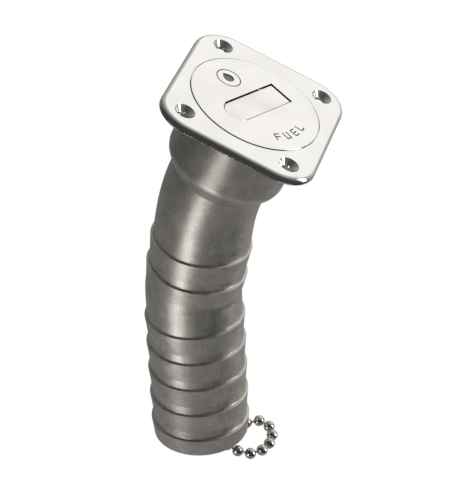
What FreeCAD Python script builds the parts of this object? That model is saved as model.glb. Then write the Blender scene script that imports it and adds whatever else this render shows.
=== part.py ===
import FreeCAD, Part
import math
import os
import Sketcher

from FreeCAD import Placement, Rotation, Vector

# Deck fill cap: a screw cap in a countersunk rectangular flange, over a cup neck and a bent hose tail.
# Origin at the centre of the flange's underside, where it meets the deck. +Z points up out of the deck,
# +X is the way the hose tail leans, +Y runs along the flange's longer side. Millimetres and degrees.

doc = FreeCAD.newDocument("DeckFillCap")
sheet = doc.addObject("Spreadsheet::Sheet", "sizes")

SIZES = {
    # flange
    "flange_side": 7.0,
    "flange_end": 12.0,
    "flange_thick": 4.0,
    "flange_corner": 17.5,
    "flange_round": 2.9,
    "flange_chamfer": 0.5,
    "screw_from_side": 13.0,
    "screw_from_end": 12.0,
    "screw_hole_dia": 5.3,
    "screw_head_dia": 10.2,
    # cap head and the recess that it sits in
    "cap_overlap": 6.2,
    "cap_gap": 0.3,
    "cap_recess": 2.6,
    "cap_proud": 0.4,
    "cap_round": 0.5,
    "seat_gap": 0.1,
    "cap_clock": 65.5,
    # screw thread between plug and neck
    "plug_tip": 1.8,
    "thread_pitch": 3.0,
    "thread_turns": 3.0,
    "thread_top": 2.2,
    "thread_height": 1.4,
    "thread_root": 1.6,
    "thread_tip": 0.8,
    "thread_clear": 0.3,
    "thread_sink": 0.3,
    "plug_wall": 3.0,
    "plug_roof": 1.5,
    # seal under the cap's head
    "seal_cord": 2.4,
    "seal_clear": 0.12,
    # cup neck and hose tail
    "cup_wall": 3.2,
    "cup_flare": 4.5,
    "cup_root_drop": 4.5,
    "shoulder_depth": 33.2,
    "shoulder_drop": 8.0,
    "shoulder_round": 8.0,
    "shoulder_step": 5.4,
    "shoulder_lead": 0.5,
    "neck_straight": 2.3,
    "tail_dia": 49.2,
    "tail_wall": 2.9,
    "bend_one_angle": 14.0,
    "bend_one_radius": 100.0,
    "bend_two_angle": 11.0,
    "bend_two_radius": 35.0,
    "bend_two_after": 13.5,
    "mouth_round": 0.9,
    # hose barbs
    "barb_first": 26.0,
    "barb_pitch": 16.2,
    "barb_rise": 1.2,
    "barb_land": 5.0,
    "barb_room": 0.2,
    "barb_lip": 0.5,
    "lower_barbs": 5,
    "mouth_land": 10.0,
    # flip tab in the cap
    "tab_inset": 12.5,
    "tab_wide": 13.0,
    "tab_thick": 3.4,
    "tab_sunk": 0.5,
    "tab_gap": 0.6,
    "tab_under": 0.4,
    "tab_round": 0.35,
    "tab_pivot_in": 8.0,
    "tab_pivot_drop": 2.2,
    "tab_pin_dia": 3.0,
    "tab_pin_clear": 0.08,
    "tab_pin_hold": 3.0,
    "pocket_floor": 1.0,
    "pocket_wall": 2.4,
    "rivet_boss_dia": 12.0,
    # engraving on the cap
    "engrave_deep": 0.4,
    "letter_high": 4.6,
    "letter_wide": 3.2,
    "letter_stroke": 0.7,
    "legend_inset": 9.2,
    "legend_angle": -24.5,
    "letter_step": 14.0,
    "mark_ring": 6.4,
    "mark_line": 0.6,
    "drop_radius": 2.8,
    "mark_x": -17.0,
    "mark_y": 9.0,
    # rivet, washer and strap under the plug
    "rivet_dia": 4.0,
    "rivet_head_dia": 8.0,
    "rivet_head_thick": 1.5,
    "rivet_hold": 5.0,
    "stack_gap": 0.15,
    "rivet_slack": 0.15,
    "strap_thick": 1.2,
    "strap_wide": 8.0,
    "strap_reach": 8.0,
    "strap_drop": 9.2,
    "washer_dia": 8.6,
    "washer_thick": 0.8,
    "eye_hole_dia": 3.2,
    "eye_edge": 3.0,
    # rings, couplings and bead chain
    "ring_radius": 2.9,
    "ring_wire": 1.2,
    "ring_drop": 2.2,
    "loop_radius": 1.5,
    "loop_wire": 1.0,
    "loop_slack": 0.05,
    "bell_long": 2.6,
    "bell_neck_dia": 1.6,
    "bell_dia": 5.4,
    "bead_dia": 5.9,
    "bead_gap": 1.1,
    "link_dia": 1.4,
    "link_gap": 1.2,
    "bell_room": 0.15,
    "loop_start": 22.0,
    # drilled lug brazed inside the tail
    "lug_angle": -30.0,
    "lug_above_mouth": 25.0,
    "lug_thick": 2.0,
    "lug_high": 8.0,
    "lug_reach": 6.4,
}

# sizes that follow from those above: which ones each adds up, and how many times each of them counts
FOLLOWS = {
    "cup_dia": {"tail_dia": 1, "shoulder_step": 2},
    "cup_bore_dia": {"cup_dia": 1, "cup_wall": -2},
    "cup_root_dia": {"cup_dia": 1, "cup_flare": 2},
    "cap_dia": {"cup_bore_dia": 1, "cap_overlap": 2},
    "flange_wide": {"cap_dia": 1, "flange_side": 2},
    "flange_long": {"cap_dia": 1, "flange_end": 2},
    "screw_wide": {"flange_wide": 1, "screw_from_side": -2},
    "screw_long": {"flange_long": 1, "screw_from_end": -2},
    "inner_shoulder_depth": {"shoulder_depth": 1, "shoulder_lead": -1},
    "tail_bore_dia": {"tail_dia": 1, "tail_wall": -2},
    "barb_dia": {"tail_dia": 1, "barb_rise": 2},
    "tab_long": {"cap_dia": 1, "tab_inset": -2},
    "bead_pitch": {"bead_dia": 1, "bead_gap": 1},
}

for row, (alias, value) in enumerate(SIZES.items(), start=1):
    sheet.set("A%d" % row, alias.replace("_", " "))
    sheet.set("B%d" % row, str(value))
    sheet.setAlias("B%d" % row, alias)
doc.recompute()

X, Y, Z = Vector(1, 0, 0), Vector(0, 1, 0), Vector(0, 0, 1)
EPS = 1.0e-4
OVER = 1.0          # how far a cutting tool runs past the face that it opens


def size(alias):
    if alias in FOLLOWS:
        return sum(times * size(word) for word, times in FOLLOWS[alias].items())
    return float(sheet.get(alias))


def cell(alias):
    # the size as a piece of an expression on the sheet's own cells
    if alias in FOLLOWS:
        terms = ["%d * %s" % (times, cell(word)) for word, times in FOLLOWS[alias].items()]
        return "(" + " + ".join(terms) + ")"
    return "sizes." + alias


def bind(obj, **links):
    # ties an object's properties to expressions on the sheet, in which <alias> stands for that size
    for prop, text in links.items():
        for word in [*SIZES, *FOLLOWS]:
            text = text.replace("<%s>" % word, cell(word))
        obj.setExpression(prop.replace("__", "."), text)
    return obj


def cylinder(name, radius, height, z="0", place=None):
    piece = doc.addObject("Part::Cylinder", name)
    bind(piece, Radius=radius, Height=height)
    if place is None:
        bind(piece, Placement__Base__z=z)
    else:
        piece.Placement = place
    return piece


def cone(name, low, high, height, z="0", place=None):
    piece = doc.addObject("Part::Cone", name)
    bind(piece, Radius1=low, Radius2=high, Height=height)
    if place is None:
        bind(piece, Placement__Base__z=z)
    else:
        piece.Placement = place
    return piece


def box(name, x, y, z):
    # each side is a pair of expressions: where the box starts and how long it is
    piece = doc.addObject("Part::Box", name)
    bind(piece, Length=x[1], Width=y[1], Height=z[1])
    bind(piece, Placement__Base__x=x[0], Placement__Base__y=y[0], Placement__Base__z=z[0])
    return piece


def torus(name, ring, wire, place):
    piece = doc.addObject("Part::Torus", name)
    bind(piece, Radius1=ring, Radius2=wire)
    piece.Placement = place
    return piece


def fuse(name, shapes):
    result = doc.addObject("Part::MultiFuse", name)
    result.Shapes = shapes
    result.Refine = True
    return result


def add_thread(name, base, ridge):
    # faces stay unmerged here, because merging them spoils the ridge's swept faces
    result = doc.addObject("Part::Fuse", name)
    result.Base = base
    result.Tool = ridge
    result.Refine = False
    return result


def cut(name, base, tools):
    result = doc.addObject("Part::Cut", name)
    result.Base = base
    result.Tool = tools[0] if len(tools) == 1 else fuse(name + "_tools", tools)
    result.Refine = True
    return result


def common(name, base, tool):
    result = doc.addObject("Part::Common", name)
    result.Base = base
    result.Tool = tool
    return result


def rounded(name, base, alias, wanted):
    # fillets the edges of base that wanted() picks
    doc.recompute()
    result = doc.addObject("Part::Fillet", name)
    result.Base = base
    radius = size(alias)
    picks = [number for number, edge in enumerate(base.Shape.Edges, start=1) if wanted(edge)]
    result.Edges = [(number, radius, radius) for number in picks]
    return result


def level(edge, height):
    return all(abs(point.z - height) < EPS for point in edge.discretize(5))


def upright(edge):
    return abs(abs(edge.tangentAt(edge.FirstParameter).z) - 1) < EPS


def named(obj, label):
    obj.Label = label
    return obj


# ---- filler body: flange, neck and hose tail, one casting ----

def origin_plane(body, role):
    return [item for item in body.Origin.OriginFeatures if item.Role == role][0]


def flange_plate():
    body = doc.addObject("PartDesign::Body", "flange")
    sketch = body.newObject("Sketcher::SketchObject", "flange_outline")
    sketch.AttachmentSupport = (origin_plane(body, "XY_Plane"), [""])
    sketch.MapMode = "FlatFace"
    half_x = size("flange_wide") / 2
    half_y = size("flange_long") / 2
    signs = ((-1, -1), (1, -1), (1, 1), (-1, 1))
    corners = [Vector(x * half_x, y * half_y) for x, y in signs]
    for start, end in zip(corners, corners[1:] + corners[:1]):
        sketch.addGeometry(Part.LineSegment(start, end), False)
    for side in range(4):
        sketch.addConstraint(Sketcher.Constraint("Coincident", side, 2, (side + 1) % 4, 1))
        sketch.addConstraint(Sketcher.Constraint("Horizontal" if side % 2 == 0 else "Vertical", side))
    sketch.addConstraint(Sketcher.Constraint("Symmetric", 0, 1, 1, 2, -1, 1))
    wide = sketch.addConstraint(Sketcher.Constraint("DistanceX", 0, 1, 0, 2, 2 * half_x))
    deep = sketch.addConstraint(Sketcher.Constraint("DistanceY", 1, 1, 1, 2, 2 * half_y))
    sketch.setExpression("Constraints[%d]" % wide, cell("flange_wide"))
    sketch.setExpression("Constraints[%d]" % deep, cell("flange_long"))
    doc.recompute()

    pad = body.newObject("PartDesign::Pad", "flange_pad")
    pad.Profile = sketch
    pad.setExpression("Length", "sizes.flange_thick")
    doc.recompute()

    top = size("flange_thick")
    steps = [
        ("corners", "PartDesign::Fillet", "Radius", "flange_corner", upright),
        ("top_edge", "PartDesign::Fillet", "Radius", "flange_round", lambda edge: level(edge, top)),
        ("low_edge", "PartDesign::Chamfer", "Size", "flange_chamfer", lambda edge: level(edge, 0)),
    ]
    base = pad
    for name, kind, prop, alias, wanted in steps:
        feature = body.newObject(kind, "flange_" + name)
        edges = ["Edge%d" % number for number, edge in enumerate(base.Shape.Edges, start=1) if wanted(edge)]
        feature.Base = (base, edges)
        feature.setExpression(prop, "sizes." + alias)
        doc.recompute()
        base = feature
    body.Tip = base
    return body


def tail_length(before_bend_two):
    # how far bend two's corner is from bend one's, and the mouth from bend two's
    if before_bend_two:
        return size("barb_first") + size("barb_pitch") + size("bend_two_after")
    return size("lower_barbs") * size("barb_pitch") + size("mouth_land")


def bend_one_depth():
    return size("shoulder_depth") + size("shoulder_drop") + size("neck_straight") + bend_tangent(1)


def corner_of_bend(number):
    first = Vector(0, 0, -bend_one_depth())
    if number == 1:
        return first
    return first + tail_direction(1) * tail_length(True)


def tail_angle(leg):
    return size("bend_one_angle") + (size("bend_two_angle") if leg == 2 else 0)


def tail_direction(leg):
    lean = math.radians(tail_angle(leg))
    return Vector(math.sin(lean), 0, -math.cos(lean))


def along_leg(leg, distance):
    # a frame on the tail's centreline whose Z points down the tail and whose Y stays the row's Y
    point = corner_of_bend(leg) + tail_direction(leg) * distance
    return Placement(point, Rotation(Y, 180 - tail_angle(leg)))


BEND_NAMES = {1: "bend_one", 2: "bend_two"}


def bend_tangent(number):
    # from the bend's corner to where its arc starts
    turn = math.radians(size(BEND_NAMES[number] + "_angle"))
    return size(BEND_NAMES[number] + "_radius") * math.tan(turn / 2)


def bend(name, number, radius):
    # part of a torus that turns the centreline through the bend's angle
    bend_name = BEND_NAMES[number]
    bend_radius = size(bend_name + "_radius")
    before = 0 if number == 1 else size("bend_one_angle")
    tangent = bend_tangent(number)
    into = Rotation(Y, -before)
    start = corner_of_bend(number) + into.multVec(Vector(0, 0, tangent))
    centre = start + into.multVec(Vector(bend_radius, 0, 0))
    turned = Rotation(into.multVec(-X), into.multVec(-Z), into.multVec(-Y), "XYZ")
    piece = torus(name, "<%s_radius>" % bend_name, radius, Placement(centre, turned))
    bind(piece, Angle3="<%s_angle>" % bend_name)
    return piece


def tail_run(name, radius, top, past_mouth):
    # the whole bent centreline, from a height in the neck to the mouth, at one radius
    first_bend = bend(name + "_bend_one", 1, radius)
    second_bend = bend(name + "_bend_two", 2, radius)
    first_tangent = bend_tangent(1)
    second_tangent = bend_tangent(2)
    upper_start = bend_one_depth() - first_tangent
    neck = cylinder(name + "_neck", radius, "%.9f - (%s)" % (upper_start, top), "-%.9f" % upper_start)
    upper_long = tail_length(True) - first_tangent - second_tangent
    lower_long = tail_length(False) - second_tangent + past_mouth
    upper = cylinder(name + "_upper", radius, "%.9f" % upper_long, place=along_leg(1, first_tangent))
    lower = cylinder(name + "_lower", radius, "%.9f" % lower_long, place=along_leg(2, second_tangent))
    return [neck, first_bend, upper, second_bend, lower]


def barb(name, leg, distance, length, reach=1.0):
    # a steep lip towards the deck, then a cone that runs down to the tail's own diameter; the last barb's
    # cone is cut short by the mouth, so reach is the share of the drop that it gets through
    drop = "(<barb_dia> - <tail_dia>) / 2 * %.9f" % reach
    crest = "<barb_dia> / 2"
    lip_place = along_leg(leg, distance - size("barb_lip"))
    lip = cone(name + "_lip", "<tail_dia> / 2", crest, "<barb_lip>", place=lip_place)
    run = cone(name, crest, crest + " - " + drop, "%.9f" % length, place=along_leg(leg, distance))
    return [lip, run]


def barbs():
    full = size("barb_pitch") - size("barb_land")
    found = []
    before_bend = size("bend_two_after") - bend_tangent(2) - size("barb_room")
    for number, length in enumerate((full, min(full, before_bend))):
        found += barb("barb_%d" % (number + 1), 1, size("barb_first") + number * size("barb_pitch"), length)
    for number in range(int(size("lower_barbs"))):
        distance = (number + 1) * size("barb_pitch")
        length = min(full, tail_length(False) - distance)
        found += barb("barb_%d" % (number + 3), 2, distance, length, length / full)
    return found


def helix_ridge(name, base_radius, tip_radius, low, turns):
    # a trapezoid carried along a right-hand helix, pointing outwards on the plug and inwards in the neck
    helix = doc.addObject("Part::Helix", name + "_path")
    bind(helix, Pitch="<thread_pitch>", Height="<thread_pitch> * %.6f" % turns, Radius="%.6f" % base_radius)
    bind(helix, Placement__Base__z="%.9f" % low)
    outline = doc.addObject("Part::Polygon", name + "_outline")
    root = size("thread_root") / 2
    tip = size("thread_tip") / 2
    # the flanks run on into the wall, so that they cross its surface cleanly
    foot = root + (root - tip) * size("thread_sink") / size("thread_height")
    sunk = base_radius - math.copysign(size("thread_sink"), tip_radius - base_radius)
    outline.Nodes = [Vector(sunk, 0, low - foot), Vector(tip_radius, 0, low - tip),
                     Vector(tip_radius, 0, low + tip), Vector(sunk, 0, low + foot)]
    outline.Close = True
    ridge = doc.addObject("Part::Sweep", name)
    doc.recompute()
    ridge.Sections = [outline]
    ridge.Spine = (helix, ["Edge1"])
    ridge.Solid = True
    ridge.Frenet = True
    return ridge


def thread_low():
    return -size("thread_top") - size("thread_pitch") * size("thread_turns")


def plug_low():
    return thread_low() - size("plug_tip")


def screw_places():
    half_x = size("screw_wide") / 2
    half_y = size("screw_long") / 2
    return [Vector(x, y, 0) for x in (-half_x, half_x) for y in (-half_y, half_y)]


def screw_holes():
    # four countersinks: a through hole and a cone that opens to the head's diameter at the top face
    tools = []
    deep = (size("screw_head_dia") - size("screw_hole_dia")) / 2
    for number, place in enumerate(screw_places(), start=1):
        low = Placement(place - Z * OVER, Rotation())
        tools.append(cylinder("screw_hole_%d" % number, "<screw_hole_dia> / 2",
                              "<flange_thick> + %g" % (2 * OVER), place=low))
        sink = Placement(place + Z * (size("flange_thick") - deep), Rotation())
        tools.append(cone("screw_sink_%d" % number, "<screw_hole_dia> / 2",
                          "<screw_head_dia> / 2 + %g" % OVER,
                          "(<screw_head_dia> - <screw_hole_dia>) / 2 + %g" % OVER, place=sink))
    return tools


def neck_blank():
    # the neck's wall and the shoulder under it, rounded where they meet
    wall = cylinder("neck_wall", "<cup_dia> / 2", "<shoulder_depth> + <flange_thick> / 2",
                    "-<shoulder_depth>")
    shoulder = cone("neck_shoulder", "<tail_dia> / 2", "<cup_dia> / 2", "<shoulder_drop>",
                    "-<shoulder_depth> - <shoulder_drop>")

    def round_edge(edge):
        return level(edge, -size("shoulder_depth")) and edge.Curve.TypeId == "Part::GeomCircle"
    return rounded("neck", fuse("neck_blank", [wall, shoulder]), "shoulder_round", round_edge)


def recess_floor():
    return size("flange_thick") - size("cap_recess")


def seat_edge():
    # radius of the 45 degree bevel at the ledge, so that it clears the seal's cord
    ring = plug_radius() + size("seal_cord") / 2
    middle = recess_floor() + size("seat_gap") - size("seal_cord") / 2
    away = (size("seal_cord") / 2 + size("seal_clear")) * math.sqrt(2)
    return ring - middle + away + recess_floor()


def plug_radius():
    return size("cup_bore_dia") / 2 - size("thread_height") - size("thread_clear")


def neck_cuts():
    # the cap's recess, the neck's bore down to its shoulder, and the seal's bevel, cut by a 45 degree cone
    recess = cylinder("cap_recess_cut", "<cap_dia> / 2 + <cap_gap>", "<cap_recess> + %g" % OVER,
                      "%.9f" % recess_floor())
    bore = cylinder("cup_bore", "<cup_bore_dia> / 2", "<inner_shoulder_depth> + <flange_thick>",
                    "-<inner_shoulder_depth>")
    inner = cone("inner_shoulder", "<tail_bore_dia> / 2", "<cup_bore_dia> / 2", "<shoulder_drop>",
                 "-<inner_shoulder_depth> - <shoulder_drop>")
    bevel_high = seat_edge() - plug_radius()
    bevel = cone("seal_bevel", "%.9f" % plug_radius(), "%.9f" % seat_edge(), "%.9f" % bevel_high,
                 "%.9f" % (recess_floor() - bevel_high))
    return [recess, bore, inner, bevel]


def filler_body():
    root = cone("neck_root", "<cup_dia> / 2", "<cup_root_dia> / 2", "<cup_root_drop>", "-<cup_root_drop>")
    tail = tail_run("tail", "<tail_dia> / 2", "<shoulder_depth>", 0)
    outside = fuse("casting", [flange_plate(), neck_blank(), root] + tail + barbs())
    passage = tail_run("bore", "<tail_bore_dia> / 2", "<shoulder_depth>", OVER)
    hollow = cut("casting_hollow", outside, neck_cuts() + passage + screw_holes())

    neck_radius = size("cup_bore_dia") / 2
    low = thread_low() + size("thread_pitch") / 2
    turns = size("thread_turns") - 1
    ridge = helix_ridge("neck_thread", neck_radius, neck_radius - size("thread_height"), low, turns)
    threaded = add_thread("casting_threaded", hollow, ridge)
    mouth = along_leg(2, tail_length(False)).Base
    down = tail_direction(2)

    def at_mouth(edge):
        return all(abs((point - mouth).dot(down)) < EPS for point in edge.discretize(5))
    return named(rounded("filler_body", threaded, "mouth_round", at_mouth), "filler_body")


# ---- heights that several pieces share ----

def cap_top():
    return size("flange_thick") + size("cap_proud")


def head_low():
    return recess_floor() + size("seat_gap")


def tab_top():
    return cap_top() - size("tab_sunk")


def pivot_point():
    return Vector(size("tab_long") / 2 - size("tab_pivot_in"), 0, tab_top() - size("tab_pivot_drop"))


def deep_floor():
    # the pocket's floor under the end that is pressed, below that end's sweep about the pin
    return pivot_point().z - math.hypot(size("tab_pivot_in"), size("tab_pivot_drop")) - size("pocket_floor")


def boss_low():
    return deep_floor() - size("pocket_wall")


def clocked(point=Vector(), turn=0.0):
    # where a point of the cap's own frame, whose X runs along the tab, lies in the row's frame
    return Placement(Vector(), Rotation(Z, size("cap_clock"))) * Placement(point, Rotation(Z, turn))


# ---- cap: head, threaded plug and the tab's pocket ----

def key_block(name, grow, low, height):
    # the flip tab's outline, square at +X and half round at -X, as a block
    reach = "(<tab_long> / 2 - <tab_wide> / 2)"
    block = box(name + "_block", ("-" + reach, reach + " + <tab_long> / 2 + " + grow),
                ("-<tab_wide> / 2 - " + grow, "<tab_wide> + 2 * " + grow), (low, height))
    end = cylinder(name + "_end", "<tab_wide> / 2 + " + grow, height, low)
    bind(end, Placement__Base__x="-" + reach)
    return fuse(name, [block, end])


LETTERS = {
    "F": ("left", "top", "middle"),
    "U": ("left", "right", "bottom"),
    "E": ("left", "top", "middle", "bottom"),
    "L": ("left", "bottom"),
}


def letter_bar(name, side, corner):
    # one straight stroke of a letter; corner is the letter's lower left corner
    to_top = size("letter_high") - size("letter_stroke")
    across = {"left": 0, "right": size("letter_wide") - size("letter_stroke")}
    upward = {"bottom": 0, "middle": to_top / 2, "top": to_top}
    piece = doc.addObject("Part::Box", name)
    if side in across:
        bind(piece, Length="<letter_stroke>", Width="<letter_high>")
        offset = Vector(across[side], 0, 0)
    else:
        bind(piece, Length="<letter_wide>", Width="<letter_stroke>")
        offset = Vector(0, upward[side], 0)
    bind(piece, Height="<engrave_deep> + %g" % OVER)
    piece.Placement = corner * Placement(offset, Rotation())
    return piece


def legend(word):
    # letters on an arc near the cap's edge, their tops towards its centre
    bars = []
    floor = cap_top() - size("engrave_deep")
    radius = size("cap_dia") / 2 - size("legend_inset")
    to_corner = Placement(Vector(-size("letter_wide") / 2, -size("letter_high") / 2, 0), Rotation())
    middle = size("legend_angle") - size("cap_clock")
    for number, letter in enumerate(word):
        angle = middle + (number - (len(word) - 1) / 2) * size("letter_step")
        turned = Placement(Vector(0, 0, floor), Rotation(Z, angle))
        corner = turned * Placement(Vector(radius, 0, 0), Rotation(Z, 90)) * to_corner
        bars += [letter_bar("letter_%s_%s" % (letter, side), side, corner) for side in LETTERS[letter]]
    return bars


def drop_mark():
    # a plain drop in a ring: a circle, and a square with one corner at the circle's centre
    floor = cap_top() - size("engrave_deep")
    unclocked = Placement(Vector(), Rotation(Z, -size("cap_clock")))
    centre = unclocked * Placement(Vector(size("mark_x"), size("mark_y"), floor), Rotation())
    deep = "<engrave_deep> + %g" % OVER
    round_part = cylinder("drop_round", "<drop_radius>", deep, place=centre)
    tip = doc.addObject("Part::Box", "drop_tip")
    bind(tip, Length="<drop_radius>", Width="<drop_radius>", Height=deep)
    tip.Placement = centre * Placement(Vector(), Rotation(Z, size("legend_angle") + 180 - 45))
    outer = cylinder("mark_outer", "<mark_ring>", deep, place=centre)
    inner = cylinder("mark_inner", "<mark_ring> - <mark_line>", deep, place=centre)
    return [round_part, tip, cut("mark_line_ring", outer, [inner])]


def across_pin(name, radius, length):
    # a cylinder along the tab's hinge axis, centred on the tab; length is a number and radius an expression
    start = pivot_point() - Y * (length / 2)
    return cylinder(name, radius, "%.9f" % length, place=Placement(start, Rotation(X, -90)))


def pin_length():
    return size("tab_wide") + 2 * (size("tab_gap") + size("tab_pin_hold"))


def cap():
    head_blank = cylinder("cap_head_blank", "<cap_dia> / 2", "<cap_recess> + <cap_proud> - <seat_gap>",
                          "%.9f" % head_low())
    head = rounded("cap_head", head_blank, "cap_round", lambda edge: level(edge, cap_top()))
    plug = cylinder("plug", "%.9f" % plug_radius(), "%.9f" % (head_low() - plug_low()), "%.9f" % plug_low())
    hollow = cylinder("plug_hollow", "%.9f - <plug_wall>" % plug_radius(),
                      "%.9f - <plug_roof>" % (OVER - plug_low()), "%.9f" % (plug_low() - OVER))
    shell = cut("plug_shell", fuse("cap_blank", [head, plug]), [hollow])

    knuckle_side = "<tab_long> / 2 - <tab_pivot_in> - <tab_pivot_drop> - <tab_gap>"
    deep_long = "<tab_pivot_in> + <tab_pivot_drop> + 2 * <tab_gap>"
    deep_wide = "<tab_wide> + 2 * <tab_gap>"
    deep = box("pocket_deep", (knuckle_side, deep_long), ("-<tab_wide> / 2 - <tab_gap>", deep_wide),
               ("%.9f" % deep_floor(), "%.9f" % (cap_top() - deep_floor() + OVER)))
    around = box("pocket_boss_block", (knuckle_side + " - <pocket_wall>", deep_long + " + 2 * <pocket_wall>"),
                 ("-<tab_wide> / 2 - <tab_gap> - <pocket_wall>", deep_wide + " + 2 * <pocket_wall>"),
                 ("%.9f" % boss_low(), "%.9f" % -boss_low()))
    limit = cylinder("pocket_boss_limit", "%.9f" % plug_radius(), "%.9f" % -boss_low(), "%.9f" % boss_low())
    boss = common("pocket_boss", around, limit)
    rivet_boss = cylinder("rivet_boss", "<rivet_boss_dia> / 2", "%.9f" % -boss_low(), "%.9f" % boss_low())
    solid = fuse("cap_solid", [shell, boss, rivet_boss])

    shallow_floor = tab_top() - size("tab_thick") - size("tab_under")
    shallow_high = cap_top() - shallow_floor + OVER
    shallow = key_block("pocket", "<tab_gap>", "%.9f" % shallow_floor, "%.9f" % shallow_high)
    rivet_hole = cylinder("rivet_hole", "<rivet_dia> / 2", "<rivet_hold> + %g" % OVER,
                          "%.9f" % (boss_low() - OVER))
    pin_hole = across_pin("tab_pin_hole", "<tab_pin_dia> / 2", pin_length())
    carved = cut("cap_carved", solid, [shallow, deep, rivet_hole, pin_hole])
    marked = cut("cap_marked", carved, legend("FUEL") + drop_mark())

    # half a pitch from the neck's ridge once the cap is clocked
    low = thread_low() + size("thread_pitch") * size("cap_clock") / 360
    ridge = helix_ridge("plug_thread", plug_radius(), plug_radius() + size("thread_height"), low,
                        size("thread_turns") - 0.5)
    whole = add_thread("cap", marked, ridge)
    whole.Placement = clocked()
    return named(whole, "cap")


def cap_seal():
    middle = Placement(Vector(0, 0, head_low() - size("seal_cord") / 2), Rotation())
    ring = "%.9f + <seal_cord> / 2" % plug_radius()
    return named(torus("cap_seal", ring, "<seal_cord> / 2", middle), "cap_seal")


def flip_tab():
    low = "%.9f" % (tab_top() - size("tab_thick"))
    blank = key_block("tab_blank", "0", low, "<tab_thick>")
    plate = rounded("tab_plate", blank, "tab_round", lambda edge: level(edge, tab_top()))
    knuckle = across_pin("tab_knuckle", "<tab_pivot_drop>", size("tab_wide"))
    hole = across_pin("tab_hole", "<tab_pin_dia> / 2 + <tab_pin_clear>", pin_length())
    tab = cut("flip_tab", fuse("tab_solid", [plate, knuckle]), [hole])
    tab.Placement = clocked()
    return named(tab, "flip_tab")


def tab_pin():
    pin = across_pin("tab_pin", "<tab_pin_dia> / 2", pin_length())
    pin.Placement = clocked() * pin.Placement
    return named(pin, "tab_pin")


# ---- rivet, washer and strap under the plug ----

def strap_top():
    return boss_low() - size("stack_gap")


def washer_top():
    return strap_top() - size("strap_thick") - size("stack_gap")


def rivet_head_top():
    return washer_top() - size("washer_thick") - size("stack_gap")


def swivel_rivet():
    stack = boss_low() - rivet_head_top()
    shank = cylinder("rivet_shank", "<rivet_dia> / 2", "%.9f + <rivet_hold>" % stack,
                     "%.9f" % rivet_head_top())
    head = cylinder("rivet_head", "<rivet_head_dia> / 2", "<rivet_head_thick>",
                    "%.9f - <rivet_head_thick>" % rivet_head_top())
    return named(fuse("swivel_rivet", [shank, head]), "swivel_rivet")


def swivel_washer():
    low = "%.9f - <washer_thick>" % washer_top()
    disc = cylinder("washer_disc", "<washer_dia> / 2", "<washer_thick>", low)
    hole = cylinder("washer_hole", "<rivet_dia> / 2 + <rivet_slack>", "<washer_thick>", low)
    return named(cut("swivel_washer", disc, [hole]), "swivel_washer")


def strap_hole_place():
    # the hole that the ring hangs in: Z up, Y along the hole
    middle = size("strap_reach") - size("strap_thick") / 2
    hole_height = strap_top() - size("strap_drop") + size("eye_edge")
    return Placement(Vector(0, middle, hole_height), Rotation())


def swivel_eye():
    across = ("-<strap_wide> / 2", "<strap_wide>")
    low = "%.9f - <strap_thick>" % strap_top()
    flat = box("strap_flat", across, ("0", "<strap_reach>"), (low, "<strap_thick>"))
    turn = cylinder("strap_end", "<strap_wide> / 2", "<strap_thick>", low)
    leg = box("strap_leg", across, ("<strap_reach> - <strap_thick>", "<strap_thick>"),
              ("%.9f - <strap_drop>" % strap_top(), "<strap_drop>"))
    rivet = cylinder("strap_rivet_hole", "<rivet_dia> / 2 + <rivet_slack>", "<strap_thick>", low)
    start = strap_hole_place() * Placement(Vector(0, -size("strap_thick"), 0), Rotation(X, -90))
    eye = cylinder("strap_eye_hole", "<eye_hole_dia> / 2", "2 * <strap_thick>", place=start)
    return named(cut("swivel_eye", fuse("strap_blank", [flat, turn, leg]), [rivet, eye]), "swivel_eye")


# ---- rings and couplings, the same at both ends of the chain ----
# Each is placed from the hole that its ring hangs in: Z away from the chain, Y along the hole.

def hanging_ring(name, hole):
    place = hole * Placement(Vector(0, 0, -size("ring_drop")), Rotation(Y, 90))
    return named(torus(name, "<ring_radius>", "<ring_wire> / 2", place), name)


def loop_middle():
    # the coupling's small loop hangs on the ring's wire
    slack = size("loop_radius") - size("loop_wire") / 2 - size("ring_wire") / 2 - size("loop_slack")
    return -size("ring_drop") - size("ring_radius") - slack


def bell_low():
    return loop_middle() - size("loop_radius") - size("bell_long")


def coupling(name, hole):
    loop = torus(name + "_loop", "<loop_radius>", "<loop_wire> / 2",
                 hole * Placement(Vector(0, 0, loop_middle()), Rotation(X, 90)))
    bell = cone(name + "_bell", "<bell_dia> / 2", "<bell_neck_dia> / 2", "<bell_long>",
                place=hole * Placement(Vector(0, 0, bell_low()), Rotation()))
    return named(fuse(name, [loop, bell]), name)


def lug_hole_place():
    mouth = along_leg(2, tail_length(False))
    upright = Placement(Vector(), Rotation(Y, 180))
    radial = size("tail_bore_dia") / 2 - size("lug_reach") + size("eye_edge")
    spun = mouth * upright * Placement(Vector(), Rotation(Z, size("lug_angle")))
    return spun * Placement(Vector(radial, 0, size("lug_above_mouth")), Rotation())


def anchor_lug():
    # a drilled plate whose outer edge follows the tail's bore
    hole_place = lug_hole_place()
    to_wall = size("lug_reach") - size("eye_edge")
    plate = doc.addObject("Part::Box", "lug_plate")
    bind(plate, Length="<lug_reach> + %g" % OVER, Width="<lug_thick>", Height="<lug_high>")
    corner = Vector(-size("eye_edge"), -size("lug_thick") / 2, -size("eye_edge"))
    plate.Placement = hole_place * Placement(corner, Rotation())
    axis = Placement(Vector(to_wall - size("tail_bore_dia") / 2, 0, -size("lug_high")), Rotation())
    inside = cylinder("lug_limit", "<tail_bore_dia> / 2", "3 * <lug_high>", place=hole_place * axis)
    start = hole_place * Placement(Vector(0, -size("lug_thick"), 0), Rotation(X, -90))
    eye = cylinder("lug_hole", "<eye_hole_dia> / 2", "2 * <lug_thick>", place=start)
    return named(cut("anchor_lug", common("lug_blank", plate, inside), [eye]), "anchor_lug")


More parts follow.
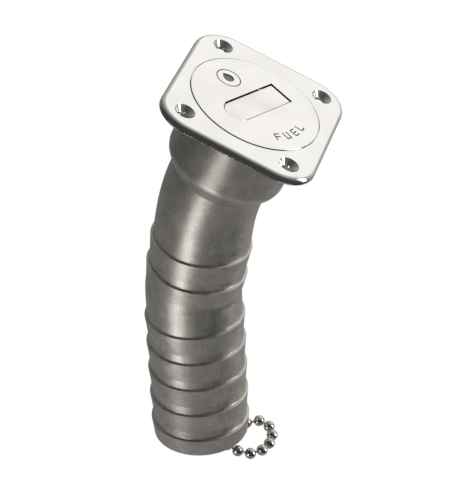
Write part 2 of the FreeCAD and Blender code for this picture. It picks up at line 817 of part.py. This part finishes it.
# ---- bead chain ----
# Points on the chain's line: where each is counted from, how far down the tail from there, and how far out
# of the tail's centreline in radii of its bore, first towards +X, then towards +Y.

UPPER = 1           # counted from the first bend's corner
MOUTH = 2           # counted from the mouth

CHAIN_ROUTE = [
    (UPPER, -15.0, 0.18, 0.31),
    (UPPER, 10.0, 0.02, 0.28),
    (UPPER, 34.0, 0.02, 0.29),
    (MOUTH, -87.0, 0.07, 0.32),
    (MOUTH, -59.0, 0.25, 0.39),
    (MOUTH, -33.0, 0.48, 0.46),
    (MOUTH, -13.0, 0.63, 0.50),
    (MOUTH, -4.0, 0.65, 0.52),
    (MOUTH, 0.8, 0.68, 0.53),
    (MOUTH, 4.4, 0.83, 0.62),
    (MOUTH, 3.9, 1.06, 0.68),
    (MOUTH, 4.0, 1.27, 0.78),
    (MOUTH, 4.6, 1.52, 0.67),
    (MOUTH, 5.2, 1.68, 0.40),
    (MOUTH, 5.4, 1.70, 0.06),
    (MOUTH, 5.2, 1.58, -0.28),
    (MOUTH, 4.8, 1.35, -0.47),
    (MOUTH, 4.3, 1.07, -0.47),
    (MOUTH, 4.2, 0.87, -0.41),
    (MOUTH, 0.5, 0.72, -0.41),
    (MOUTH, -3.5, 0.70, -0.41),
]


def route_point(start, distance, out, side):
    lean = math.radians(tail_angle(start))
    outward = Vector(math.cos(lean), 0, math.sin(lean))
    origin = corner_of_bend(start)
    if start == MOUTH:
        origin = along_leg(2, tail_length(False)).Base
    radius = size("tail_bore_dia") / 2
    return origin + tail_direction(start) * distance + (outward * out + Y * side) * radius


def bead_centres():
    # evenly spaced along a smooth line from one coupling to the other
    start = strap_hole_place().multVec(Vector(0, 0, bell_low()))
    end = lug_hole_place().multVec(Vector(0, 0, bell_low()))
    line = Part.BSplineCurve()
    line.interpolate([start] + [route_point(*point) for point in CHAIN_ROUTE] + [end])
    edge = line.toShape()
    lead = size("link_gap") + size("bead_dia") / 2
    count = int(round((edge.Length - 2 * lead) / size("bead_pitch"))) + 1
    pitch = (edge.Length - 2 * lead) / (count - 1)
    centres = [line.value(line.parameterAtDistance(lead + number * pitch)) for number in range(count)]
    print("chain %.1f long, %d beads, pitch %.2f" % (edge.Length, count, pitch))
    return start, centres, end


def link(start, end, start_room, end_room):
    # a straight rod between two bead centres, from one bead's surface to the next's
    way = end - start
    run = way.Length - start_room - end_room
    direction = way.normalize()
    return Part.makeCylinder(size("link_dia") / 2, run, start + direction * start_room, direction)


def group(name, shapes):
    piece = doc.addObject("Part::Feature", name)
    piece.Shape = Part.makeCompound(shapes)
    piece.Placement = Placement()
    return named(piece, name)


def chain():
    start, centres, end = bead_centres()
    radius = size("bead_dia") / 2
    mouth = along_leg(2, tail_length(False)).Base
    inside = [(point - mouth).dot(tail_direction(2)) < -size("loop_start") for point in centres]
    upper_count = inside.index(False)
    beads = [Part.makeSphere(radius, point) for point in centres]
    links = [link(start, centres[0], size("bell_room"), radius)]
    links += [link(one, other, radius, radius) for one, other in zip(centres, centres[1:])]
    links.append(link(centres[-1], end, radius, size("bell_room")))
    return [
        group("chain_upper_beads", beads[:upper_count]),
        group("chain_upper_links", links[:upper_count + 1]),
        group("chain_loop_beads", beads[upper_count:]),
        group("chain_loop_links", links[upper_count + 1:]),
    ]


# ---- the whole cap, checked and written ----

def build():
    pieces = [
        filler_body(),
        cap(),
        cap_seal(),
        flip_tab(),
        tab_pin(),
        swivel_rivet(),
        swivel_washer(),
        swivel_eye(),
        hanging_ring("cap_end_ring", strap_hole_place()),
        coupling("cap_end_coupling", strap_hole_place()),
        anchor_lug(),
        hanging_ring("anchor_ring", lug_hole_place()),
        coupling("tail_end_coupling", lug_hole_place()),
    ]
    pieces += chain()
    doc.recompute()
    for item in doc.Objects:
        if "Invalid" in item.State or "Error" in item.State:
            raise RuntimeError("%s failed: %s" % (item.Name, item.getStatusString()))
    os.makedirs("parts", exist_ok=True)
    for piece in pieces:
        shape = piece.Shape
        if shape.isNull() or not shape.isValid() or not shape.Solids:
            raise RuntimeError("%s has no sound solid" % piece.Label)
        shape.exportStep("parts/%s.step" % piece.Label)
        print("%-18s %2d solids %9.1f mm3" % (piece.Label, len(shape.Solids), shape.Volume))
    return pieces


pieces = build()
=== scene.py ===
import bpy
import bmesh
import math
from mathutils import Matrix, Vector


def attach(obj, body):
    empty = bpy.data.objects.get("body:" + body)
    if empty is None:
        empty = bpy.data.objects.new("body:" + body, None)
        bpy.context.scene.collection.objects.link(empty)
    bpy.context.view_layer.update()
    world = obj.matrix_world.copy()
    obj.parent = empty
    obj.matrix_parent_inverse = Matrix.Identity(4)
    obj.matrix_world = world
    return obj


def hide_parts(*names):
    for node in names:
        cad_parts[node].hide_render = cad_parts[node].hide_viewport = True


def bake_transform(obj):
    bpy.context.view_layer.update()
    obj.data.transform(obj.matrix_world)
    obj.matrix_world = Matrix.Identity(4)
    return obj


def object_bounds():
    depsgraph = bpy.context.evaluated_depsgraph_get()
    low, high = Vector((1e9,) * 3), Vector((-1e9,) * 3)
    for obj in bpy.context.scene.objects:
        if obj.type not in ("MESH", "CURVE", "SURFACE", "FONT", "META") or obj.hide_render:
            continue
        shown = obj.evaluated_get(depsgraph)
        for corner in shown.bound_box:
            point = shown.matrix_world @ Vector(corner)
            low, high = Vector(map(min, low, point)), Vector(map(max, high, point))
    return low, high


# Deck fill cap in polished and bead-blasted stainless steel. Metres, in the frame's own axes.

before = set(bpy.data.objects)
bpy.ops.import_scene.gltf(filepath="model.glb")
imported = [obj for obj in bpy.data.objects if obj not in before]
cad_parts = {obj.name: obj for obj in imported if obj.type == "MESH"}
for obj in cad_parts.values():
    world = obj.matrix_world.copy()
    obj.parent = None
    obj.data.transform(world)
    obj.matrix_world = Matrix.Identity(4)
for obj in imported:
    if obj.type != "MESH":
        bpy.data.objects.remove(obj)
cadBox = [list(corner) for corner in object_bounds()]
scene = bpy.context.scene


# ---- camera, stage and light ----

camera = {
    "place": (9.7, -839.0, 542.2),
    "lookAt": (19.5, 0.0, -81.1),
    "roll": 27.65,
    "lens": 150.8,
}

stage = {
    "floorDrop": 0.10,
    "floorSize": 0.45,
    "floorColour": (0.50, 0.50, 0.50, 1),
    "shadow": 0.0,
    "brightWay": (0.10, 0.80, 0.59),
    "bright": (0.70, 0.69, 0.675, 1),
    "middle": (0.24, 0.238, 0.235, 1),
    "dark": (0.05, 0.05, 0.05, 1),
}

softboxes = [
    # name, place, target, size across, size up, watts, colour
    ("skyBox", (0.15, 1.5, 1.15), (0, 0, 0), 1.9, 1.5, 3.4, (1.0, 0.99, 0.975)),
    ("frontStrip", (-0.015, -0.20, -0.235), (0.03, 0, -0.12), 0.06, 0.20, 0.13, (1.0, 0.985, 0.96)),
    ("sideBox", (0.9, 0.15, 0.35), (0.02, 0, -0.1), 0.25, 0.8, 5, (1.0, 0.99, 0.98)),
]


def addCamera():
    data = bpy.data.cameras.new("camera")
    data.lens = camera["lens"]
    data.sensor_width = 36
    data.clip_start = 0.01
    cameraObject = bpy.data.objects.new("camera", data)
    place = Vector(camera["place"]) / 1000
    aim = Vector(camera["lookAt"]) / 1000
    turn = (aim - place).to_track_quat("-Z", "Y").to_matrix().to_4x4()
    roll = Matrix.Rotation(math.radians(camera["roll"]), 4, "Z")
    cameraObject.matrix_world = Matrix.Translation(place) @ turn @ roll
    scene.collection.objects.link(cameraObject)
    scene.camera = cameraObject


def addSoftbox(name, place, target, across, up, watts, colour):
    data = bpy.data.lights.new(name, "AREA")
    data.shape = "RECTANGLE"
    data.size = across
    data.size_y = up
    data.energy = watts
    data.color = colour
    light = bpy.data.objects.new(name, data)
    light.location = place
    light.visible_camera = False
    light.rotation_euler = (Vector(target) - Vector(place)).to_track_quat("-Z", "Y").to_euler()
    scene.collection.objects.link(light)


def addFloor():
    mesh = bpy.data.meshes.new("floor")
    sheet = bmesh.new()
    bmesh.ops.create_grid(sheet, x_segments=1, y_segments=1, size=stage["floorSize"])
    bmesh.ops.translate(sheet, verts=sheet.verts, vec=(0, 0, cadBox[0][2] - stage["floorDrop"]))
    sheet.to_mesh(mesh)
    sheet.free()
    floor = bpy.data.objects.new("floor", mesh)
    scene.collection.objects.link(floor)
    paint = bpy.data.materials.new("paleFloor")
    paint.use_nodes = True
    nodes, links = paint.node_tree.nodes, paint.node_tree.links
    matt = nodes["Principled BSDF"]
    matt.inputs["Base Color"].default_value = stage["floorColour"]
    matt.inputs["Roughness"].default_value = 0.9
    matt.inputs["Specular IOR Level"].default_value = 0.1
    whiten(nodes, links, matt.outputs[0], nodes["Material Output"], 1 - stage["shadow"])
    mesh.materials.append(paint)


def whiten(nodes, links, shader, output, share):
    # what the camera sees directly is plain white, whatever lights the object
    white = nodes.new("ShaderNodeEmission")
    mix = nodes.new("ShaderNodeMixShader")
    seen = nodes.new("ShaderNodeMath")
    seen.operation = "MULTIPLY"
    seen.inputs[1].default_value = share
    links.new(nodes.new("ShaderNodeLightPath").outputs["Is Camera Ray"], seen.inputs[0])
    links.new(seen.outputs[0], mix.inputs[0])
    links.new(shader, mix.inputs[1])
    links.new(white.outputs[0], mix.inputs[2])
    links.new(mix.outputs[0], output.inputs["Surface"])


def addWorld():
    # bright behind and above the object, dark on the camera's side
    world = bpy.data.worlds.new("studio")
    scene.world = world
    world.use_nodes = True
    nodes, links = world.node_tree.nodes, world.node_tree.links
    background = nodes["Background"]
    toward = nodes.new("ShaderNodeVectorMath")
    toward.operation = "DOT_PRODUCT"
    toward.inputs[1].default_value = stage["brightWay"]
    links.new(nodes.new("ShaderNodeTexCoord").outputs["Generated"], toward.inputs[0])
    ramp = nodes.new("ShaderNodeValToRGB")
    links.new(toward.outputs["Value"], ramp.inputs["Fac"])
    ramp.color_ramp.elements[0].position = 0.0
    ramp.color_ramp.elements[0].color = stage["dark"]
    ramp.color_ramp.elements[1].position = 0.92
    ramp.color_ramp.elements[1].color = stage["bright"]
    ramp.color_ramp.elements.new(0.45).color = stage["middle"]
    links.new(ramp.outputs["Color"], background.inputs["Color"])
    whiten(nodes, links, background.outputs[0], nodes["World Output"], 1.0)


addCamera()
for settings in softboxes:
    addSoftbox(*settings)
addFloor()
addWorld()
scene.view_settings.view_transform = "Standard"
print("stage and camera set")


# ---- node groups shared by the finishes ----

def newGroup(name, inputs, outputs):
    group = bpy.data.node_groups.new(name, "ShaderNodeTree")
    for label, kind, value in inputs:
        socket = group.interface.new_socket(label, in_out="INPUT", socket_type=kind)
        if value is not None:
            socket.default_value = value
    for label, kind in outputs:
        group.interface.new_socket(label, in_out="OUTPUT", socket_type=kind)
    return group, group.nodes.new("NodeGroupInput"), group.nodes.new("NodeGroupOutput")


def noise(nodes, links, coordinate, scale, detail=4.0, roughness=0.6):
    texture = nodes.new("ShaderNodeTexNoise")
    texture.inputs["Detail"].default_value = detail
    texture.inputs["Roughness"].default_value = roughness
    if isinstance(scale, (int, float)):
        texture.inputs["Scale"].default_value = scale
    else:
        links.new(scale, texture.inputs["Scale"])
    links.new(coordinate, texture.inputs["Vector"])
    return texture.outputs["Fac"]


def ranged(nodes, links, value, low, high, toLow, toHigh):
    spread = nodes.new("ShaderNodeMapRange")
    for label, amount in (("From Min", low), ("From Max", high), ("To Min", toLow), ("To Max", toHigh)):
        if isinstance(amount, (int, float)):
            spread.inputs[label].default_value = amount
        else:
            links.new(amount, spread.inputs[label])
    links.new(value, spread.inputs["Value"])
    return spread.outputs["Result"]


def blend(nodes, links, mask, first, second):
    # colours mixed by a mask
    mix = nodes.new("ShaderNodeMix")
    mix.data_type = "RGBA"
    links.new(mask, mix.inputs["Factor"])
    for value, socket in ((first, mix.inputs[6]), (second, mix.inputs[7])):
        if isinstance(value, tuple):
            socket.default_value = value
        else:
            links.new(value, socket)
    return mix.outputs[2]


def mixed(nodes, links, first, share, second, otherShare):
    # two values added in fixed shares
    one = combine(nodes, links, "MULTIPLY", first, share)
    other = combine(nodes, links, "MULTIPLY", second, otherShare)
    return combine(nodes, links, "ADD", one, other)


def combine(nodes, links, operation, first, second):
    step = nodes.new("ShaderNodeMath")
    step.operation = operation
    for value, socket in ((first, step.inputs[0]), (second, step.inputs[1])):
        if isinstance(value, (int, float)):
            socket.default_value = value
        else:
            links.new(value, socket)
    return step.outputs[0]


def blastedGroup():
    # shot-blasted surface: fine pits, broad mottling and a slightly uneven sheen
    group, given, result = newGroup("blastedSteel", [
        ("Light", "NodeSocketColor", (0.5, 0.48, 0.45, 1)),
        ("Dark", "NodeSocketColor", (0.4, 0.38, 0.36, 1)),
        ("Roughness", "NodeSocketFloat", 0.4),
        ("Spread", "NodeSocketFloat", 0.08),
        ("Pit Scale", "NodeSocketFloat", 2500.0),
    ], [("Color", "NodeSocketColor"), ("Roughness", "NodeSocketFloat"), ("Height", "NodeSocketFloat")])
    nodes, links = group.nodes, group.links
    place = nodes.new("ShaderNodeTexCoord").outputs["Object"]
    pits = noise(nodes, links, place, given.outputs["Pit Scale"], 3.0, 0.7)
    mottle = noise(nodes, links, place, 140, 5.0, 0.62)
    smear = noise(nodes, links, place, 38, 3.0, 0.5)
    shade = mixed(nodes, links, mottle, 0.3, pits, 0.7)
    mask = ranged(nodes, links, shade, 0.36, 0.64, 0, 1)
    colour = blend(nodes, links, mask, given.outputs["Dark"], given.outputs["Light"])
    links.new(colour, result.inputs["Color"])
    low = combine(nodes, links, "SUBTRACT", given.outputs["Roughness"], given.outputs["Spread"])
    high = combine(nodes, links, "ADD", given.outputs["Roughness"], given.outputs["Spread"])
    uneven = mixed(nodes, links, mottle, 0.5, smear, 0.5)
    links.new(ranged(nodes, links, uneven, 0.35, 0.65, low, high), result.inputs["Roughness"])
    links.new(pits, result.inputs["Height"])
    return group


def polishedGroup():
    # buffed surface: faint haze, hairline swirls and a little unevenness from buffing
    group, given, result = newGroup("polishedSteel", [
        ("Light", "NodeSocketColor", (0.85, 0.84, 0.82, 1)),
        ("Dark", "NodeSocketColor", (0.74, 0.73, 0.71, 1)),
        ("Roughness", "NodeSocketFloat", 0.08),
        ("Haze", "NodeSocketFloat", 0.05),
    ], [("Color", "NodeSocketColor"), ("Roughness", "NodeSocketFloat"), ("Height", "NodeSocketFloat")])
    nodes, links = group.nodes, group.links
    place = nodes.new("ShaderNodeTexCoord").outputs["Object"]
    cloud = noise(nodes, links, place, 55, 4.0, 0.55)
    waves = noise(nodes, links, place, 26, 2.0, 0.4)
    stretch = nodes.new("ShaderNodeMapping")
    stretch.inputs["Scale"].default_value = (900, 60, 900)
    stretch.inputs["Rotation"].default_value = (0, 0, math.radians(24))
    links.new(place, stretch.inputs["Vector"])
    hair = noise(nodes, links, stretch.outputs["Vector"], 1.0, 2.0, 0.5)
    mask = ranged(nodes, links, cloud, 0.35, 0.65, 0, 1)
    colour = blend(nodes, links, mask, given.outputs["Dark"], given.outputs["Light"])
    links.new(colour, result.inputs["Color"])
    worn = mixed(nodes, links, cloud, 0.6, hair, 0.4)
    high = combine(nodes, links, "ADD", given.outputs["Roughness"], given.outputs["Haze"])
    sheen = ranged(nodes, links, worn, 0.4, 0.62, given.outputs["Roughness"], high)
    links.new(sheen, result.inputs["Roughness"])
    links.new(mixed(nodes, links, waves, 1.0, hair, 0.02), result.inputs["Height"])
    return group


blasted = blastedGroup()
polished = polishedGroup()


# ---- finishes ----

def startFinish(name, metallic=1.0, roughness=None):
    finish = bpy.data.materials.new(name)
    finish.use_nodes = True
    nodes, links = finish.node_tree.nodes, finish.node_tree.links
    shader = nodes["Principled BSDF"]
    shader.inputs["Metallic"].default_value = metallic
    return finish, nodes, links, shader


def useGroup(nodes, group, **values):
    placed = nodes.new("ShaderNodeGroup")
    placed.node_tree = group
    for label, value in values.items():
        placed.inputs[label.replace("_", " ")].default_value = value
    return placed


def bumped(nodes, links, height, strength, distance, shader):
    bump = nodes.new("ShaderNodeBump")
    bump.inputs["Strength"].default_value = strength
    bump.inputs["Distance"].default_value = distance
    links.new(height, bump.inputs["Height"])
    links.new(bump.outputs["Normal"], shader.inputs["Normal"])


def groupFinish(name, group, strength, distance, **values):
    finish, nodes, links, shader = startFinish(name)
    effect = useGroup(nodes, group, **values)
    links.new(effect.outputs["Color"], shader.inputs["Base Color"])
    links.new(effect.outputs["Roughness"], shader.inputs["Roughness"])
    bumped(nodes, links, effect.outputs["Height"], strength, distance, shader)
    return finish


castingFinish = {
    "polishedAbove": 0.0004,
    "maskWidth": 0.0004,
    "rippleShare": 0.25,
    "dull": {
        "Light": (0.72, 0.695, 0.65, 1),
        "Dark": (0.30, 0.285, 0.265, 1),
        "Roughness": 0.40,
        "Spread": 0.06,
    },
    "bright": {
        "Light": (0.86, 0.85, 0.83, 1),
        "Dark": (0.80, 0.79, 0.77, 1),
        "Roughness": 0.06,
        "Haze": 0.05,
    },
}


def castingMaterial():
    # one casting: polished flange above, blasted neck and tail below
    finish, nodes, links, shader = startFinish("castingSteel")
    dull = useGroup(nodes, blasted, **castingFinish["dull"])
    bright = useGroup(nodes, polished, **castingFinish["bright"])
    split = nodes.new("ShaderNodeSeparateXYZ")
    links.new(nodes.new("ShaderNodeTexCoord").outputs["Object"], split.inputs[0])
    start = castingFinish["polishedAbove"]
    mask = ranged(nodes, links, split.outputs["Z"], start - castingFinish["maskWidth"], start, 0, 1)
    colour = blend(nodes, links, mask, dull.outputs["Color"], bright.outputs["Color"])
    links.new(colour, shader.inputs["Base Color"])
    roughness = nodes.new("ShaderNodeMix")
    links.new(mask, roughness.inputs["Factor"])
    links.new(dull.outputs["Roughness"], roughness.inputs[2])
    links.new(bright.outputs["Roughness"], roughness.inputs[3])
    links.new(roughness.outputs[0], shader.inputs["Roughness"])
    lowerPart = combine(nodes, links, "SUBTRACT", 1.0, mask)
    pits = combine(nodes, links, "MULTIPLY", dull.outputs["Height"], lowerPart)
    ripple = combine(nodes, links, "MULTIPLY", bright.outputs["Height"], mask)
    relief = mixed(nodes, links, pits, 1.0, ripple, castingFinish["rippleShare"])
    bumped(nodes, links, relief, 0.35, 0.0001, shader)
    return finish


def rubberMaterial():
    finish, nodes, links, shader = startFinish("sealRubber", 0.0)
    place = nodes.new("ShaderNodeTexCoord").outputs["Object"]
    dust = ranged(nodes, links, noise(nodes, links, place, 300), 0.4, 0.65, 0, 1)
    colour = blend(nodes, links, dust, (0.012, 0.012, 0.012, 1), (0.035, 0.034, 0.033, 1))
    links.new(colour, shader.inputs["Base Color"])
    links.new(ranged(nodes, links, dust, 0, 1, 0.45, 0.62), shader.inputs["Roughness"])
    bumped(nodes, links, noise(nodes, links, place, 2600), 0.2, 0.00005, shader)
    return finish


# painted shade in the bottom of the engraving: its height band and reach, the dark colour painted there,
# and the rougher metal
engravingShade = {
    "below": 0.0043,
    "above": 0.0039,
    "within": 0.0300,
    # dark base colour: painted shade in the engraving's bottom
    "colour": (0.20, 0.195, 0.19, 1),
    "roughness": 0.45,
}


def capMaterial():
    # polished, with painted shade in the bottom of the engraving (a dark base colour) and rougher metal
    # there
    finish = groupFinish("capSteel", polished, 0.12, 0.0001, Light=(0.86, 0.85, 0.83, 1),
                         Dark=(0.80, 0.79, 0.77, 1), Roughness=0.07, Haze=0.06)
    nodes, links = finish.node_tree.nodes, finish.node_tree.links
    shader = nodes["Principled BSDF"]
    place = nodes.new("ShaderNodeTexCoord").outputs["Object"]
    split = nodes.new("ShaderNodeSeparateXYZ")
    links.new(place, split.inputs[0])
    flat = nodes.new("ShaderNodeVectorMath")
    flat.operation = "MULTIPLY"
    flat.inputs[1].default_value = (1, 1, 0)
    links.new(place, flat.inputs[0])
    radius = nodes.new("ShaderNodeVectorMath")
    radius.operation = "LENGTH"
    links.new(flat.outputs[0], radius.inputs[0])
    low = combine(nodes, links, "LESS_THAN", split.outputs["Z"], engravingShade["below"])
    high = combine(nodes, links, "GREATER_THAN", split.outputs["Z"], engravingShade["above"])
    near = combine(nodes, links, "LESS_THAN", radius.outputs["Value"], engravingShade["within"])
    # mask of the engraving's bottom, where shade is painted in as a dark base colour
    mask = combine(nodes, links, "MULTIPLY", combine(nodes, links, "MULTIPLY", low, high), near)
    colourBefore = shader.inputs["Base Color"].links[0].from_socket
    roughnessBefore = shader.inputs["Roughness"].links[0].from_socket
    colour = blend(nodes, links, mask, colourBefore, engravingShade["colour"])
    links.new(colour, shader.inputs["Base Color"])
    mix = nodes.new("ShaderNodeMix")
    links.new(mask, mix.inputs["Factor"])
    links.new(roughnessBefore, mix.inputs[2])
    mix.inputs[3].default_value = engravingShade["roughness"]
    links.new(mix.outputs[0], shader.inputs["Roughness"])
    return finish


finishes = {
    "filler_body": castingMaterial(),
    "anchor_lug": groupFinish("lugSteel", blasted, 0.3, 0.0001, Roughness=0.42),
    "cap": capMaterial(),
    "flip_tab": groupFinish("tabSteel", polished, 0.12, 0.0001, Roughness=0.08, Haze=0.05),
    "cap_seal": rubberMaterial(),
    "tab_pin": groupFinish("pinSteel", polished, 0.1, 0.0001, Roughness=0.16),
    "swivel_rivet": groupFinish("rivetSteel", polished, 0.1, 0.0001, Roughness=0.18),
    "swivel_washer": groupFinish("washerSteel", polished, 0.1, 0.0001, Roughness=0.24),
    "swivel_eye": groupFinish("strapSteel", polished, 0.1, 0.0001, Roughness=0.26),
    "cap_end_ring": groupFinish("ringSteel", polished, 0.1, 0.0001, Roughness=0.14),
    "chain_upper_beads": groupFinish("beadSteel", polished, 0.1, 0.0001, Light=(0.66, 0.64, 0.61, 1),
                                     Dark=(0.48, 0.465, 0.44, 1), Roughness=0.1, Haze=0.1),
    "chain_upper_links": groupFinish("linkSteel", polished, 0.1, 0.0001, Roughness=0.2),
}
shared = {
    "anchor_ring": "cap_end_ring",
    "chain_loop_beads": "chain_upper_beads",
    "cap_end_coupling": "chain_upper_beads",
    "tail_end_coupling": "chain_upper_beads",
    "chain_loop_links": "chain_upper_links",
}
for name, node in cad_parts.items():
    node.data.materials.clear()
    node.data.materials.append(finishes[shared.get(name, name)])
print("finishes set on %d CAD nodes" % len(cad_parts))


# ---- bead chain ----

chain = {
    "beadRadius": 0.00295,
    "linkRadius": 0.0007,
    "linkStart": 0.9,
    "toBell": 0.0043,
    "around": 24,
    "rings": 14,
    "lipDeep": 0.00022,
    "linkAround": 10,
    "fixedBelow": (0.034, 0.009, -0.165),
    "freeAbove": (0.0, 0.0074, -0.030),
}


def islandCentres(name):
    # the middle of each separate solid in a CAD node
    solid = bmesh.new()
    solid.from_mesh(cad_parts[name].data)
    bmesh.ops.remove_doubles(solid, verts=solid.verts, dist=1e-6)
    left, centres = set(solid.verts), []
    while left:
        start = left.pop()
        found, queue = [start], [start]
        while queue:
            for edge in queue.pop().link_edges:
                for vertex in edge.verts:
                    if vertex in left:
                        left.remove(vertex)
                        found.append(vertex)
                        queue.append(vertex)
        low = Vector([min(v.co[axis] for v in found) for axis in range(3)])
        high = Vector([max(v.co[axis] for v in found) for axis in range(3)])
        centres.append((low + high) / 2)
    solid.free()
    return centres


def inOrder(centres, start):
    # nearest neighbour after nearest neighbour, from one end of the chain
    ordered, left, last = [], list(centres), Vector(start)
    while left:
        last = min(left, key=lambda centre: (centre - last).length)
        left.remove(last)
        ordered.append(last)
    return ordered


def newPiece(name, shape, material, body, *nodes):
    mesh = bpy.data.meshes.new(name)
    shape.to_mesh(mesh)
    shape.free()
    mesh.shade_smooth()
    mesh.materials.append(material)
    piece = bpy.data.objects.new(name, mesh)
    scene.collection.objects.link(piece)
    if nodes:
        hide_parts(*nodes)
    if body:
        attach(piece, body)
    return piece


def addBead(shape, centre, way):
    # a ball with a small turned-in lip at each hole, its holes along the chain
    ball = bmesh.ops.create_uvsphere(shape, u_segments=chain["around"], v_segments=chain["rings"],
                                     radius=chain["beadRadius"])
    edge = chain["beadRadius"] * math.cos(math.pi / chain["rings"])
    poles = [v for v in ball["verts"] if abs(v.co.z) > edge + 1e-6]
    for pole in poles:
        pole.co.z -= math.copysign(chain["lipDeep"], pole.co.z)
    turn = way.to_track_quat("Z", "Y").to_matrix().to_4x4()
    bmesh.ops.transform(shape, matrix=Matrix.Translation(centre) @ turn, verts=ball["verts"])


def addLink(shape, start, end):
    way = end - start
    middle = Matrix.Translation((start + end) / 2) @ way.to_track_quat("Z", "Y").to_matrix().to_4x4()
    bmesh.ops.create_cone(shape, cap_ends=True, segments=chain["linkAround"], radius1=chain["linkRadius"],
                          radius2=chain["linkRadius"], depth=way.length, matrix=middle)


def buildChain():
    upper = sorted(islandCentres("chain_upper_beads"), key=lambda centre: -centre.z)
    loop = inOrder(islandCentres("chain_loop_beads"), upper[-1])
    line = upper + loop
    beads = {"Upper": bmesh.new(), "Loop": bmesh.new()}
    rods = {"Upper": bmesh.new(), "Loop": bmesh.new()}
    fromMiddle = chain["beadRadius"] * chain["linkStart"]
    for number, centre in enumerate(line):
        run = "Upper" if number < len(upper) else "Loop"
        before, after = line[max(number - 1, 0)], line[min(number + 1, len(line) - 1)]
        addBead(beads[run], centre, after - before)
        if number + 1 < len(line):
            reach = (line[number + 1] - centre).normalized() * fromMiddle
            addLink(rods[run], centre + reach, line[number + 1] - reach)
    for run, end, neighbour in (("Upper", line[0], line[1]), ("Loop", line[-1], line[-2])):
        way = (end - neighbour).normalized()
        addLink(rods[run], end + way * fromMiddle, end + way * chain["toBell"])
    steel, rod = finishes["chain_upper_beads"], finishes["chain_upper_links"]
    upperBeads = newPiece("chainUpperBeads", beads["Upper"], steel, None, "chain_upper_beads")
    upperLinks = newPiece("chainUpperLinks", rods["Upper"], rod, None, "chain_upper_links")
    for piece in (upperBeads, upperLinks):
        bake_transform(piece)
    newPiece("chainLoopBeads", beads["Loop"], steel, "filler", "chain_loop_beads")
    newPiece("chainLoopLinks", rods["Loop"], rod, "filler", "chain_loop_links")
    print("chain of %d beads" % len(line))


buildChain()
